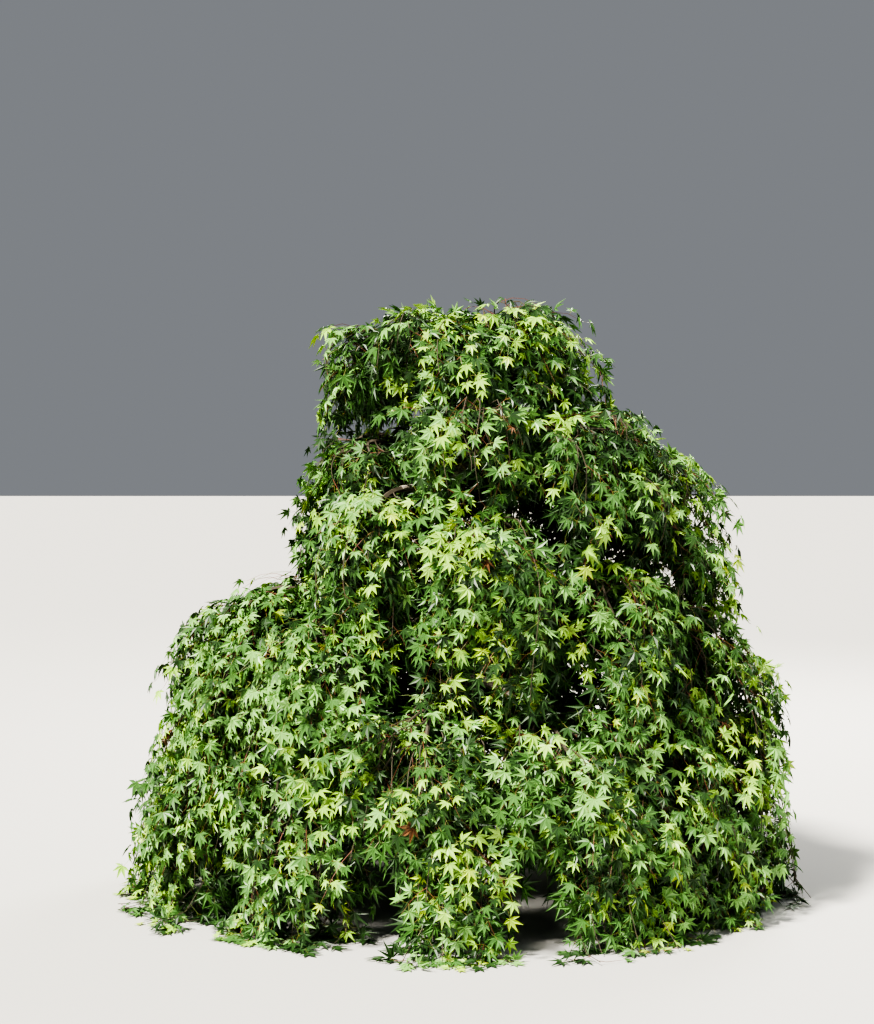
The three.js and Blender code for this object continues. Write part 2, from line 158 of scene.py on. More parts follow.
MASSES = [
    ("top_left", 181, dict(tip_height=1.665, crest=1.765, reach=0.345, hem=1.57)),
    ("top_front_left", 250, dict(hem=1.67)),
    ("top_front_right", 318, dict(crest=1.84, reach=0.33, flare=0.14)),
    ("top_right", 30, dict(crest=1.8, reach=0.335, flare=0.18)),
    ("top_back", 103, dict(crest=1.83, reach=0.385, spread=34)),
    ("shoulder_left", 205, dict(crest=1.45, reach=0.39, ends=(0.9, 1.35))),
    ("shoulder_front", 274, dict(fork=1.41, tip_height=1.47, crest=1.56, hem=1.38, ends=(0.85, 1.42))),
    ("shoulder_front_right", 320, dict(tip_height=1.45, crest=1.515, reach=0.67, spread=20)),
    ("shoulder_right", 358, dict(tip_height=1.44, crest=1.51, reach=0.765, hem=0.92, flare=0.12, spread=20,
                                 runners=18)),
    ("shoulder_back_right", 40, dict(tip_height=1.43, crest=1.5, reach=0.69, hem=0.97, spread=24,
                                     ends=(0.9, 1.3))),
    ("shoulder_back", 88, dict(crest=1.49, reach=0.61, hem=0.92, ends=(0.9, 1.25))),
    ("shoulder_back_left", 142, dict(fork=1.28, crest=1.46, reach=0.54, hem=0.94, ends=(0.9, 1.25))),
    ("waist_left", 238, dict(fork=1.24, tip_height=1.31, crest=1.25, reach=0.58, hem=0.82)),
    ("waist_front", 284, dict(tip_height=1.15, crest=1.23, reach=0.65, hem=0.73)),
    ("waist_right", 324, dict(fork=0.96, tip_height=0.99, crest=1.06, reach=0.775, hem=0.7)),
    ("skirt_left", 195, dict(tip_height=0.91, crest=0.965, reach=0.88, flare=0.15, spread=18)),
    ("skirt_left_front", 227, dict(tip_height=0.85, crest=0.9, reach=0.8, spread=19)),
    ("skirt_front", 263, dict(fork=0.64, tip_height=0.6, crest=0.65, spread=14)),
    ("skirt_front_right", 296, dict(fork=0.56, tip_height=0.56, crest=0.61, spread=15)),
    ("skirt_right_front", 327, dict(fork=0.66, tip_height=0.59, crest=0.64, spread=15)),
    ("skirt_right", 358, dict(tip_height=0.88, crest=0.94, reach=0.945, hem=0.06, flare=0.08, spread=18)),
    ("skirt_right_back", 36, dict(tip_height=0.84, crest=0.89, reach=0.93, flare=0.08, spread=18)),
    ("skirt_back_right", 75, dict(tip_height=0.86, crest=0.92, reach=0.87, spread=19)),
    ("skirt_back", 115, dict(tip_height=0.87, crest=0.94, reach=0.86, spread=20)),
    ("skirt_back_left", 155, dict(fork=0.72, tip_height=0.87, crest=0.93, reach=0.89, spread=20)),
]

# The finer runners
FINE_RUNNER_RADIUS = 0.0024
RUNNER_TIP_RADIUS = 0.0012
RUNNER_TAPER = 0.8
RUNNER_POINTS = 14
RUNNER_SIDES = 5
FINE_START = (0.02, 0.5)
FINE_LIFT = (-0.05, 0.085)
FINE_PARTING = 0.22
LIFT_ONSET = 1.4
RUNNER_PLACE = (0.1, 0.9)
RUNNER_SWAY = 0.05
RUNNER_TURNS = (4, 8)
RUNNER_PHASE = (0, 6.28)

# The runners at the hollows: the steps in which they are looked at, the part of a runner past which a hollow
# stops it, the share of it that may be hidden, and the least of it that is left
HOLLOW_STEPS = 25
HOLLOW_STOP = 0.55
HOLLOW_SHARE = 0.25
RUNNER_LEAST = 0.3

# The side shoots. Some grow inwards in the shade, and of the others most are missing in a dip.
SHOOT_GAP = 0.03
SHOOTS_LEAST = 4
LENGTH_STEPS = 9
SHOOT_FIRST = 0.05
SHOOT_LENGTH = (0.08, 0.15)
SHOOT_SHRINK = 0.3
SHOOT_TURN = (28, 66)
SHOOT_RISE = (-0.1, 0.7)
SHOOT_SAG = 0.5
SHOOT_RADIUS = 0.0011
SHOOT_TIP_RADIUS = 0.0005
SHOOT_POINTS = 4
SHOOT_SIDES = 3
SHOOT_REFERENCE = (0.31, 0.72, 0.62)
SHOOT_CLEARANCE = 0.004
STEP_AHEAD = 0.01
SHADE_RISE = (-1.3, -0.5)
SHADE_SHARE = 0.42
DIP = -0.25
DIP_SHARE = 0.75

# The spurs on the boughs
SPURS = 15
SPUR_PLACES = (0.35, 1.0)
SPUR_TURN = (30, 85)
SPUR_RISE = (0.3, 1.3)
SPUR_LENGTH = (0.07, 0.13)

# The lumps of the foliage
LUMP_WAVES = 7
LUMP_DEPTH = 0.045
LUMP_GROWTH = 0.5
LUMP_RISE = 0.5
LUMP_SOFTNESS = 2

# The young sprays, towards the ends of the runners
YOUNG_FROM = (0.6, 1.35)
YOUNG_SPAN = 0.12
YOUNG_LEAST = 0.04
YOUNG_GAIN = 0.9

# The leaves: five long lobes and two short ones at the stalk, as turns and lengths
LOBE_TURNS = np.array([-124, -82, -41, 0, 41, 82, 124])
LOBE_LENGTHS = np.array([0.32, 0.7, 0.92, 1.0, 0.92, 0.7, 0.32])
LONG_LOBE = 0.5
SINUS = 0.35
LOBE_HALF_WIDTH = 0.145
LOBE_WIDEST = 0.42
LOBE_FOLD = 0.05
LEAF_LENGTH = (0.031, 0.053)
SHADE_LEAF_GROWTH = 1.3
YOUNG_LEAF_GROWTH = 0.85
LEAF_STALK = (0.012, 0.03)
STALK_RISE = (0.05, 0.6)
STALK_WIDTH = 0.0011
LEAF_DROOP = (0.15, 1.1)
LEAF_TILT = 0.34
FACE_RISE = (0.2, 1.1)
FACE_TILT = 0.55
LEAF_NARROW = (0.8, 1.1)
LEAF_BEND = (0.05, 0.42)
LEAF_CREASE = (0.4, 1.8)
LEAF_PLACES = np.array([0.36, 0.36, 0.7, 0.7, 1.0])
LEAF_SIDES = np.array([-1, 1, -1, 1, 0])
LEAF_TURN = 58
LEAF_TURN_LUCK = 16
LOW_LENGTH = 1.1
LOW_ROOM = (0.05, 1)
LOW_LEAN = 0.02
LOW_FACE = 0.2

# A spray's luck from 0 to 1 gives its green by these limits. In the shade one limit deals only the two
# darkest greens, which is painted shade. The tones are numbers in LEAF_LOOKS, and the shares are those of
# young sprays with a pale tip and of all sprays with a bronze one.
TONE_LIMITS = (0.2, 0.56, 0.86)
PAINTED_SHADE_LIMIT = 0.7
FRESH_TONE = 3
TIP_TONE = 4
BRONZE_TONE = 5
STALK_TONE = 6
TIP_SHARE = 0.6
BRONZE_SHARE = 0.006

# The hollows among the tresses, where the photo is dark: their middles, their radii across and upwards, and
# their radii from front to back
HOLLOWS = np.array([
    [-0.20, -0.36, 1.66, 0.10, 0.10],
    [0.05, -0.46, 1.44, 0.08, 0.08],
    [-0.18, -0.42, 1.34, 0.06, 0.16],
    [0.51, -0.55, 1.08, 0.10, 0.10],
    [-0.25, -0.65, 1.07, 0.08, 0.08],
    [-0.18, -0.84, 0.56, 0.09, 0.10],
    [0.41, -0.80, 0.65, 0.09, 0.09],
    [0.25, -0.92, 0.33, 0.06, 0.09],
    [0.24, -0.88, 0.20, 0.08, 0.15],
    [0.24, -0.88, 0.08, 0.09, 0.16],
    [-0.26, -0.92, 0.34, 0.06, 0.09],
    [-0.24, -0.88, 0.21, 0.08, 0.15],
    [-0.24, -0.88, 0.09, 0.09, 0.16],
    [0.80, -0.28, 0.95, 0.10, 0.10],
    [-0.70, -0.58, 0.16, 0.09, 0.09],
])

# The looks of leaves and twigs: name, colour, roughness and specular level. The middle and light leaf greens
# are the leaves' own colour with a cool blue cast added, which is painted reflection of the sky.
LEAF_LOOKS = (
    ("leaf_deep", 0x324E26, 0.42, 0.42),
    ("leaf_middle", 0x537B3D, 0.41, 0.42),
    ("leaf_light", 0x85B261, 0.41, 0.42),
    ("leaf_fresh", 0xA1C856, 0.42, 0.42),
    ("leaf_tip", 0xB6D04C, 0.42, 0.42),
    ("leaf_bronze", 0x6E4A2A, 0.45, 0.5),
    ("leaf_stalk", 0x84803C, 0.5, 0.5),
)
TWIG_LOOKS = (
    ("twig_wood", 0x524A3C, 0.8, 0.5),
    ("twig_green", 0x66763A, 0.55, 0.5),
    ("twig_red", 0x7E4A36, 0.55, 0.5),
)

# The two barks: name, the colours of furrows, ridges and patches, the streaks' scale and the bump's depth
TRUNK_BARK = ("trunk_bark", 0x4A4138, 0xA39684, 0x8B8F72, 90.0, 0.004)
BOUGH_BARK = ("bough_bark", 0x6A6055, 0xC2B8A6, 0xA8A794, 120.0, 0.0018)

# What both barks share: how much a furrow keeps of the streaks, where they are darkest and palest, where the
# patches set in and are strongest, and how much smoother than the roughest the pale places are
FLECK_SCALE = 700.0
FURROW_KEEP = 0.35
DARKEST_AT = 0.22
PALEST_AT = 0.72
PATCH_RAMP = ((0.55, (0, 0, 0, 1)), (0.68, (0.6, 0.6, 0.6, 1)))
BARK_SPECULAR = 0.3
BARK_ROUGHEST = 0.98
PALE_SMOOTHER = 0.25
BUMP_STRENGTH = 0.7
FLECK_HEIGHT = 0.3

# The studio. The key lamp is a sun that is tilted and turned, and each soft lamp has its name, place, aim,
# size, watts and colour.
FLOOR_HALF = 30
FLOOR_LOOK = ("floor_pale", 0xC9C7C2, 0.85, 0.2)
SURROUND_COLOUR = (0.80, 0.84, 0.90, 1)
SURROUND_STRENGTH = 0.25
KEY_STRENGTH = 9.5
KEY_SPREAD = 9
KEY_TILT = 37
KEY_TURN = -47
KEY_COLOUR = (1.0, 0.96, 0.88)
SOFT_LAMPS = (
    ("fill", (5.5, -4.5, 2.6), (0, 0, 0.9), 3.5, 70, (0.86, 0.92, 1.0)),
    ("rim", (2.5, 5.0, 4.5), (0, 0, 1.2), 2.0, 350, (1.0, 0.98, 0.94)),
)

UP = np.array([0.0, 0.0, 1.0])


def mix(a, b, share):
    return a + (b - a) * share


def smooth(x):
    x = np.clip(x, 0, 1)
    return x * x * (3 - 2 * x)


def unit(v):
    return v / np.linalg.norm(v, axis=-1, keepdims=True)


def away_at(bearing):
    """The level direction away from the trunk at a bearing in degrees."""
    turn = np.radians(bearing)
    return np.stack([np.cos(turn), np.sin(turn), np.zeros_like(turn)], axis=-1)


def draws_from(seed):
    """The seeded stream of numbers from 0 to 1 that the first stem and runners of a mass are drawn from: a
    32-bit count that is stirred by shifts and products."""
    state = seed

    def draw():
        nonlocal state
        state = (state + 0x6D2B79F5) & 0xFFFFFFFF
        t = ((state ^ state >> 15) * (state | 1)) & 0xFFFFFFFF
        t ^= (t + (t ^ t >> 7) * (t | 61)) & 0xFFFFFFFF
        return ((t ^ t >> 14) & 0xFFFFFFFF) / 4294967296

    return draw


def bezier(controls, share):
    """Points and directions on a cubic curve: the four control points are weighted by the powers of share
    and of what is left of it, and the direction is the derivative."""
    s = np.asarray(share, dtype=float)[..., None]
    r = 1 - s
    a, b, c, d = controls
    at = r**3 * a + 3 * r * r * s * b + 3 * r * s * s * c + s**3 * d
    along = r * r * (b - a) + 2 * r * s * (c - b) + s * s * (d - c)
    return at, unit(along)


def arch_of(mass):
    """The arch of a mass, as the control points of distance from the trunk and height: from the bough's tip
    over the crest at a third of the way, then out and down to the hem. A third of the way along a cubic, the
    four points weigh 8, 12, 6 and 1 of 27, and that gives the second one its height."""
    fall = mix(mass["crest"], mass["hem"], ARCH_FALL)
    rise = (27 * mass["crest"] - 8 * mass["tip_height"] - 6 * fall - mass["hem"]) / 12
    return np.array([
        [mass["tip_reach"], mass["tip_height"]],
        [mix(mass["tip_reach"], mass["reach"], ARCH_KNEE), rise],
        [mass["reach"] - mass["flare"] / 2, fall],
        [mass["reach"] + mass["flare"] / 2, mass["hem"]],
    ])


def place_in(mass, share, side, lift):
    """A place in a mass and the way that its outside faces there. share is how far along the arch, side how
    far to one side, from -1 to 1, and lift how far outside the arch. The sides fall away by the bulge times
    side squared, and the bearing opens out along the first half of the arch. What would sink below the ground
    trails outwards over it."""
    on, along = bezier(mass["arch"], share)
    out = lift - mass["bulge"] * side**2 * smooth(BULGE_ONSET * share)
    opening = mix(SPREAD_FOOT, 1, smooth(SPREAD_ONSET * share))
    away = away_at(mass["bearing"] + side * mass["spread"] * opening)
    height = on[..., 1] + along[..., 0] * out
    sunk = np.maximum(GROUND_CLEARANCE + 2 * RUNNER_RADIUS - height, 0)
    trail = np.minimum(TRAIL * sunk, TRAIL_MOST)
    place = away * (on[..., 0] - along[..., 1] * out + trail)[..., None]
    place[..., 2] = height + sunk
    return place, away * -along[..., 1:] + UP * along[..., :1]


def grown_masses():
    """Every mass with its tier's usual values, its own, its seed and its arch."""
    rows = []
    for index, (name, bearing, own) in enumerate(MASSES):
        tier = TIERS[name.split("_")[0]]
        mass = {**tier, "fork": tier["fork"] + FORK_STEP * (index % FORK_STEPS), **own}
        mass.update(name=name, bearing=float(bearing), seed=MASS_SEED + SEED_STEP * index)
        mass["arch"] = arch_of(mass)
        rows.append(mass)
    return rows


def trunk_axis(z):
    """The middle of the trunk at a height: two sine waves that set in over the lowest third."""
    share = z / TRUNK_HEIGHT
    sway = SWAY * smooth(share * SWAY_ONSET)
    y = SWAY_SHARE_Y * sway * np.sin(SWAY_TURN_Y * share + SWAY_PHASE_Y)
    return np.stack([sway * np.sin(SWAY_TURN_X * share), y, z * np.ones_like(sway)], axis=-1)


def trunk_radius(z):
    return mix(TRUNK_FOOT_RADIUS, TRUNK_TIP_RADIUS, (z / TRUNK_HEIGHT) ** TRUNK_TAPER)


# Meshes from arrays

def mesh_piece(name, points, faces, materials, choice=None, smooth_faces=False):
    """A mesh object at the origin from an array of points and an array of triangles, with a material for
    each triangle by its number in choice."""
    mesh = bpy.data.meshes.new(name)
    mesh.vertices.add(len(points))
    mesh.vertices.foreach_set("co", np.ascontiguousarray(points, dtype=np.float32).ravel())
    mesh.loops.add(faces.size)
    mesh.loops.foreach_set("vertex_index", np.ascontiguousarray(faces, dtype=np.int32).ravel())
    mesh.polygons.add(len(faces))
    mesh.polygons.foreach_set("loop_start", np.arange(0, faces.size, 3, dtype=np.int32))
    for material in materials:
        mesh.materials.append(material)
    if choice is not None:
        mesh.polygons.foreach_set("material_index", np.ascontiguousarray(choice, dtype=np.int32))
    mesh.polygons.foreach_set("use_smooth", np.full(len(faces), smooth_faces))
    mesh.update(calc_edges=True)
    mesh.validate()
    piece = bpy.data.objects.new(name, mesh)
    bpy.context.scene.collection.objects.link(piece)
    return piece


def closed_skins(rings):
    """Points and triangles of closed tubes from rings of points, (tubes, rings, sides, 3): two triangles
    between each pair of neighbours, and a fan from the middle of the first ring and of the last."""
    tubes, count, sides, _ = rings.shape
    middles = rings[:, [0, -1]].mean(axis=2)
    points = np.concatenate([rings.reshape(tubes, -1, 3), middles], axis=1)
    ring, side = np.meshgrid(np.arange(count - 1), np.arange(sides), indexing="ij")
    a = (ring * sides + side).ravel()
    b = (ring * sides + (side + 1) % sides).ravel()
    wall = np.concatenate([np.stack([a, b, b + sides], 1), np.stack([a, b + sides, a + sides], 1)])
    edge = np.arange(sides)
    following = (edge + 1) % sides
    foot = np.stack([np.full(sides, count * sides), following, edge], 1)
    last = (count - 1) * sides
    tip = np.stack([np.full(sides, count * sides + 1), last + edge, last + following], 1)
    faces = np.concatenate([wall, foot, tip])
    starts = np.arange(tubes) * (count * sides + 2)
    return points.reshape(-1, 3), (faces[None] + starts[:, None, None]).reshape(-1, 3)


def angles_round(sides):
    """The angles of the points of a ring, at even steps from 0."""
    return np.arange(sides) * 2 * np.pi / sides


def rings_along(paths, radii, sides, reference):
    """Rings round many lines at once. paths is (tubes, points, 3) and radii (tubes, points, sides or 1): each
    ring is its point plus the radius times cosine and sine of the angle along two directions square to the
    line, the first of them the reference made square to it."""
    along = unit(np.gradient(paths, axis=1))
    normal = np.broadcast_to(reference[:, None], along.shape)
    normal = unit(normal - along * (normal * along).sum(-1, keepdims=True))
    binormal = np.cross(along, normal)
    angle = angles_round(sides)
    spokes = normal[:, :, None] * np.cos(angle)[:, None] + binormal[:, :, None] * np.sin(angle)[:, None]
    return paths[:, :, None] + spokes * radii[..., None]


def joined(skins):
    """Several sets of points, triangles and material numbers as one set."""
    points, faces, choices = zip(*skins)
    starts = np.cumsum([0] + [len(p) for p in points[:-1]])
    faces = [f + start for f, start in zip(faces, starts)]
    return np.concatenate(points), np.concatenate(faces), np.concatenate(choices)


# Bark

def furrows(angle, along, rng, waves, drift):
    """Bark relief on a straightened limb, from 0 in a furrow to 1 on a ridge. Waves run round the limb with
    whole numbers of crests, the phase of each drifts along it as a slow sine and a quick one, and a furrow is
    where their sum is near zero."""
    total = np.zeros(np.broadcast_shapes(angle.shape, along.shape))
    slow, quick = WANDER_TURNS
    for wave in waves:
        phase = rng.uniform(0, 2 * np.pi)
        speed = rng.uniform(*WAVE_SPEED)
        strength = rng.uniform(*WAVE_STRENGTH)
        wander = np.sin(speed * along * slow + phase)
        wander += WANDER_RIPPLE * np.sin(speed * along * quick + 2 * phase)
        total += strength * np.cos(wave * angle + wander * drift + phase)
    return smooth(np.abs(total) / (FURROW_WIDTH * len(waves)))


def straightened(angle, along, radius):
    """Where a limb's surface would lie if the limb were straight, of one radius and upright."""
    return np.stack(np.broadcast_arrays(radius * np.cos(angle), radius * np.sin(angle), along), axis=-1)


def bark_piece(name, rings, straight, ridge, material):
    """A closed limb mesh that carries its straightened coordinates and its relief for the material."""
    points, faces = closed_skins(rings)
    piece = mesh_piece(name, points, faces, [material], smooth_faces=True)
    tubes, count, sides, _ = rings.shape
    ends = np.zeros((tubes, 2, 3))
    ends[:, :, 2] = straight[:, [0, -1], 0, 2]
    place = np.concatenate([straight.reshape(tubes, -1, 3), ends], axis=1)
    attribute = piece.data.attributes.new("straight", "FLOAT_VECTOR", "POINT")
    attribute.data.foreach_set("vector", place.astype(np.float32).ravel())
    relief = np.concatenate([ridge.reshape(tubes, -1), np.ones((tubes, 2))], axis=1)
    attribute = piece.data.attributes.new("ridge", "FLOAT", "POINT")
    attribute.data.foreach_set("value", relief.astype(np.float32).ravel())
    return piece


def trunk_piece(material):
    """The trunk: level rings round its axis. The radius is the taper with its low knots, plus a lobed flare
    that dies away exponentially above the foot, less the furrows, which are deepest at the foot."""
    rng = np.random.default_rng(TRUNK_BARK_SEED)
    z = (np.linspace(0, 1, TRUNK_RINGS) ** RING_CROWDING * TRUNK_HEIGHT)[:, None]
    angle = angles_round(TRUNK_SIDES)
    lobes = 1 + ROOT_LOBE_DEPTH * np.cos(ROOT_LOBES * angle + ROOT_LOBE_PHASE)
    flare = ROOT_FLARE * np.exp(-z / ROOT_FLARE_HEIGHT) * lobes
    ridge = furrows(angle, z, rng, TRUNK_WAVES, TRUNK_WANDER)
    round_turn, up_turn, swell_turn = KNOT_TURNS
    knots = KNOT_DEPTH * np.sin(round_turn * angle + up_turn * z) * np.sin(swell_turn * z + KNOT_PHASE)
    radius = trunk_radius(z) * (1 + knots) + flare - (1 - ridge) * mix(*TRUNK_FURROW, z / TRUNK_HEIGHT)
    axis = trunk_axis(z[:, 0])[:, None]
    spokes = np.stack([np.cos(angle), np.sin(angle), np.zeros_like(angle)], axis=-1)
    rings = axis + spokes * radius[..., None]
    straight = straightened(angle, z, TRUNK_GRAIN_RADIUS)
    piece = bark_piece("trunk_bark", rings[None], straight[None], ridge[None], material)
    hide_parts("trunk")
    return piece


def bough_line(mass, share):
    """The middle line of a bough: a cubic curve from the trunk's axis at its fork to its tip, where it runs
    the way its mass goes on, bent to one side by half a sine wave."""
    draw = draws_from(mass["seed"] + BOUGH_SEED)
    away = away_at(mass["bearing"])
    arrival = unit(mass["arch"][1] - mass["arch"][0])
    root = trunk_axis(np.float64(mass["fork"]))
    tip = away * mass["tip_reach"] + UP * mass["tip_height"]
    length = np.linalg.norm(tip - root)
    leave = root + away * BOUGH_LEAVE * length + UP * BOUGH_RISE * length
    arrive = tip - (away * arrival[0] + UP * arrival[1]) * BOUGH_ARRIVE * length
    wind = mix(-BOUGH_WIND, BOUGH_WIND, draw()) * length
    line, _ = bezier((root, leave, arrive, tip), share)
    return line + np.cross(away, UP) * (wind * np.sin(np.pi * share))[:, None]


def bough_relief(mass, line, share):
    """The radius of a bough at each ring and side, its straightened surface and its ridges: the radius tapers
    from the collar where it leaves the trunk to its tip, with nodes a few centimetres apart and shallow
    furrows."""
    rng = np.random.default_rng(mass["seed"] + BOUGH_BARK_SEED)
    steps = np.linalg.norm(np.diff(line, axis=0), axis=1)
    reach = np.concatenate([[0], np.cumsum(steps)])[:, None]
    foot = max(BOUGH_FOOT_LEAST, BOUGH_FOOT_SHARE * float(trunk_radius(mass["fork"])))
    radius = mix(foot, BOUGH_TIP_RADIUS, share[:, None] ** BOUGH_TAPER)
    collar = COLLAR_SWELL * foot * np.exp(-np.maximum(reach - foot, 0) / COLLAR_LENGTH)
    node = NODE_SWELL * radius * np.cos(2 * np.pi * reach / rng.uniform(*NODE_GAP)) ** NODE_SHARPNESS
    angle = angles_round(BOUGH_SIDES)
    ridge = furrows(angle, reach * BOUGH_FURROW_RATE, rng, BOUGH_WAVES, BOUGH_WANDER)
    relief = radius + collar + node - (1 - ridge) * BOUGH_FURROW
    return relief, straightened(angle, reach, BOUGH_GRAIN_RADIUS), ridge


def bough_piece(tier, masses, material):
    """The boughs of one tier, joined: each a limb round its line."""
    share = np.linspace(0, 1, BOUGH_RINGS)
    lines = [bough_line(mass, share) for mass in masses]
    reliefs = [bough_relief(mass, line, share) for mass, line in zip(masses, lines)]
    radii, straights, ridges = (np.array(values) for values in zip(*reliefs))
    references = np.array([np.cross(UP, away_at(mass["bearing"])) for mass in masses])
    rings = rings_along(np.array(lines), radii, BOUGH_SIDES, references)
    piece = bark_piece("boughs_" + tier, rings, straights, ridges, material)
    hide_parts(*["bough_" + mass["name"] for mass in masses])
    return piece


# Shoots

def first_shoots(mass):
    """The stem's end, and the side, start, end and lift of the first two runners, as the seed draws them."""
    draw = draws_from(mass["seed"])

    def between(pair):
        return mix(*pair, draw())

    end = between(STEM_END)
    runners = []
    for index in range(RUNNERS):
        side = between(RUNNER_SIDE) * (1 if index % 2 else -1)
        start = between(RUNNER_START) + RUNNER_START_STEP * (index % 2)
        end_and_lift = (between(RUNNER_END), between(RUNNER_LIFT))
        runners.append((side, start, *end_and_lift, RUNNER_RADIUS, RUNNER_PARTING))
    return end, runners


def in_hollow(points):
    """True where a point is in a hollow: its offset from the middle, divided by the radii, is below 1."""
    offset = (points[..., None, :] - HOLLOWS[:, :3]) / HOLLOWS[:, [3, 4, 3]]
    return (np.linalg.norm(offset, axis=-1) < 1).any(axis=-1)


def runners_of(mass, rng):
    """Every runner of a mass, one column each of side, start, end, lift, foot radius, parting, sway, turns
    and phase: the stem, the first two, then finer ones, each at some place in its even step from side to
    side."""
    end, first = first_shoots(mass)
    rows = [(0.0, 0.0, end, 0.0, STEM_RADIUS, RUNNER_PARTING, 0.0, 1.0, 0.0)]
    rows += [(*row, 0.0, 1.0, 0.0) for row in first]
    count = mass["runners"] - len(rows)
    sides = (np.arange(count) + rng.uniform(*RUNNER_PLACE, count)) / count * 2 - 1
    for side in sides:
        rows.append((
            side, rng.uniform(*FINE_START), rng.uniform(*mass["ends"]), rng.uniform(*FINE_LIFT),
            FINE_RUNNER_RADIUS, FINE_PARTING, RUNNER_SWAY, rng.uniform(*RUNNER_TURNS),
            rng.uniform(*RUNNER_PHASE),
        ))
    return cut_at_hollows(mass, np.array(rows).T[..., None])


def cut_at_hollows(mass, runners):
    """The runners without what would hang in the hollows: one that comes to a hollow in its lower part stops
    above it, and one that has much of its length in a hollow, or is left very short, is taken out. The stem
    stays whole."""
    part = np.linspace(0, 1, HOLLOW_STEPS)
    points, _ = runner_at(mass, runners, part[None])
    hidden = in_hollow(points)
    hidden[0] = False
    cut = np.logical_or.accumulate(hidden & (part > HOLLOW_STOP), axis=1)
    last = part[HOLLOW_STEPS - 1 - cut.sum(axis=1)]
    runners[2] = mix(runners[1], runners[2], last[:, None])
    clear = (hidden & ~cut).mean(axis=1) < HOLLOW_SHARE
    return runners[:, clear & (last > RUNNER_LEAST)]


def lump_at(mass, points):
    """How far a place stands in a lump of the foliage, from -1 in a dip to 1: sine waves that run through
    space in seeded directions are added up, and held in by the hyperbolic tangent of the sum over a softness.
    They are shorter upwards in the upper tiers, whose lumps lie like shelves, and longer in the skirt, whose
    lumps hang as tresses."""
    rng = np.random.default_rng(LUMP_SEED)
    width, height = mass["lumps"]
    ways = unit(rng.normal(size=(LUMP_WAVES, 3))) * 2 * np.pi / [width, width, height]
    phases = rng.uniform(0, 2 * np.pi, LUMP_WAVES)
    return np.tanh(np.sin(points @ ways.T + phases).sum(axis=-1) / LUMP_SOFTNESS)


def runner_at(mass, runners, part):
    """A place on each runner and the way its outside faces, part of the way along it: it parts from the stem
    by a quarter of a sine wave, then hangs at its own side and lift. The finer ones sway, follow the lumps
    and stand out less near the crest."""
    side, start, end, lift, _, parting, sway, turns, phase = runners
    share = mix(start, end, part)
    parted = np.sin(0.5 * np.pi * np.clip((share - start) / parting, 0, 1))
    swung = (side + sway * np.sin(turns * part + phase)) * parted
    lift = lift * parted * np.where(sway > 0, smooth(LIFT_ONSET * share), 1)
    even, _ = place_in(mass, share, swung, lift)
    return place_in(mass, share, swung, lift + LUMP_DEPTH * np.sign(sway) * lump_at(mass, even) * parted)


def runner_skins(mass, runners):
    """The runners as closed tubes. The stem starts at its bough's tip."""
    part = np.linspace(0, 1, RUNNER_POINTS)[None]
    paths, _ = runner_at(mass, runners, part)
    foot = runners[4]
    tip = np.where(foot == STEM_RADIUS, STEM_TIP_RADIUS, RUNNER_TIP_RADIUS)
    radii = mix(foot, tip, part**RUNNER_TAPER)[..., None]
    reference = np.cross(UP, away_at(np.full(len(paths), mass["bearing"])))
    points, faces = closed_skins(rings_along(paths, radii, RUNNER_SIDES, reference))
    return points, faces, np.zeros(len(faces))


def shoot_way(foot, ahead, out, turn, rise):
    """The way that a shoot points: along its limb, from its foot to a place just ahead, turned to the side in
    radians, and raised by a share of the way that the outside faces."""
    along = unit(ahead - foot)
    across = unit(np.cross(along, out))
    return unit(along * np.cos(turn)[..., None] + across * np.sin(turn)[..., None] + out * rise[..., None])


def only(kept, things):
    """The kept rows of a set of arrays by name."""
    return {key: value[kept] for key, value in things.items()}


def side_shoots(mass, runners, rng):
    """The side shoots of a mass: they leave the runners in turn to the left and right at even steps, and
    point along, across and out, or inwards where they grow in the shade. They are longer and stand out more
    on a lump, and shorter towards the runner's end, and most of those in the light are missing in a dip."""
    rough, _ = runner_at(mass, runners, np.linspace(0, 1, LENGTH_STEPS)[None])
    mean_length = np.linalg.norm(np.diff(rough, axis=1), axis=-1).sum(axis=1).mean()
    count = max(SHOOTS_LEAST, int(round(mean_length / SHOOT_GAP)))
    shape = (runners.shape[1], count)
    part = SHOOT_FIRST + (1 - SHOOT_FIRST) * (np.arange(count) + rng.uniform(0, 1, shape)) / count
    shade = rng.uniform(0, 1, shape) < SHADE_SHARE
    foot, out = runner_at(mass, runners, part)
    ahead, _ = runner_at(mass, runners, part + STEP_AHEAD)
    hand = np.where((np.arange(count) + np.arange(shape[0])[:, None]) % 2, 1, -1)
    turn = np.radians(rng.uniform(*SHOOT_TURN, shape)) * hand
    lump = lump_at(mass, foot)
    rise = rng.uniform(*SHOOT_RISE, shape) + LUMP_RISE * lump
    rise = np.where(shade, rng.uniform(*SHADE_RISE, shape), rise)
    way = shoot_way(foot, ahead, out, turn, rise)
    length = rng.uniform(*SHOOT_LENGTH, shape) * (1 - SHOOT_SHRINK * part) * (1 + LUMP_GROWTH * lump)
    age = (part - rng.uniform(*YOUNG_FROM, (shape[0], 1))) / YOUNG_SPAN
    youth = YOUNG_LEAST + YOUNG_GAIN * smooth(age)
    shoots = {
        "foot": foot.reshape(-1, 3), "out": out.reshape(-1, 3), "way": way.reshape(-1, 3),
        "length": length.reshape(-1), "youth": youth.reshape(-1), "shade": shade.reshape(-1),
    }
    tip, _ = shoot_at(shoots, np.array([1.0]))
    bare = (lump < DIP) & (rng.uniform(0, 1, shape) < DIP_SHARE) & ~shade
    kept = inside_space(mass, tip[:, 0]) & ~in_hollow(tip[:, 0]) & ~in_hollow(shoots["foot"])
    return only(kept & ~bare.reshape(-1), shoots)


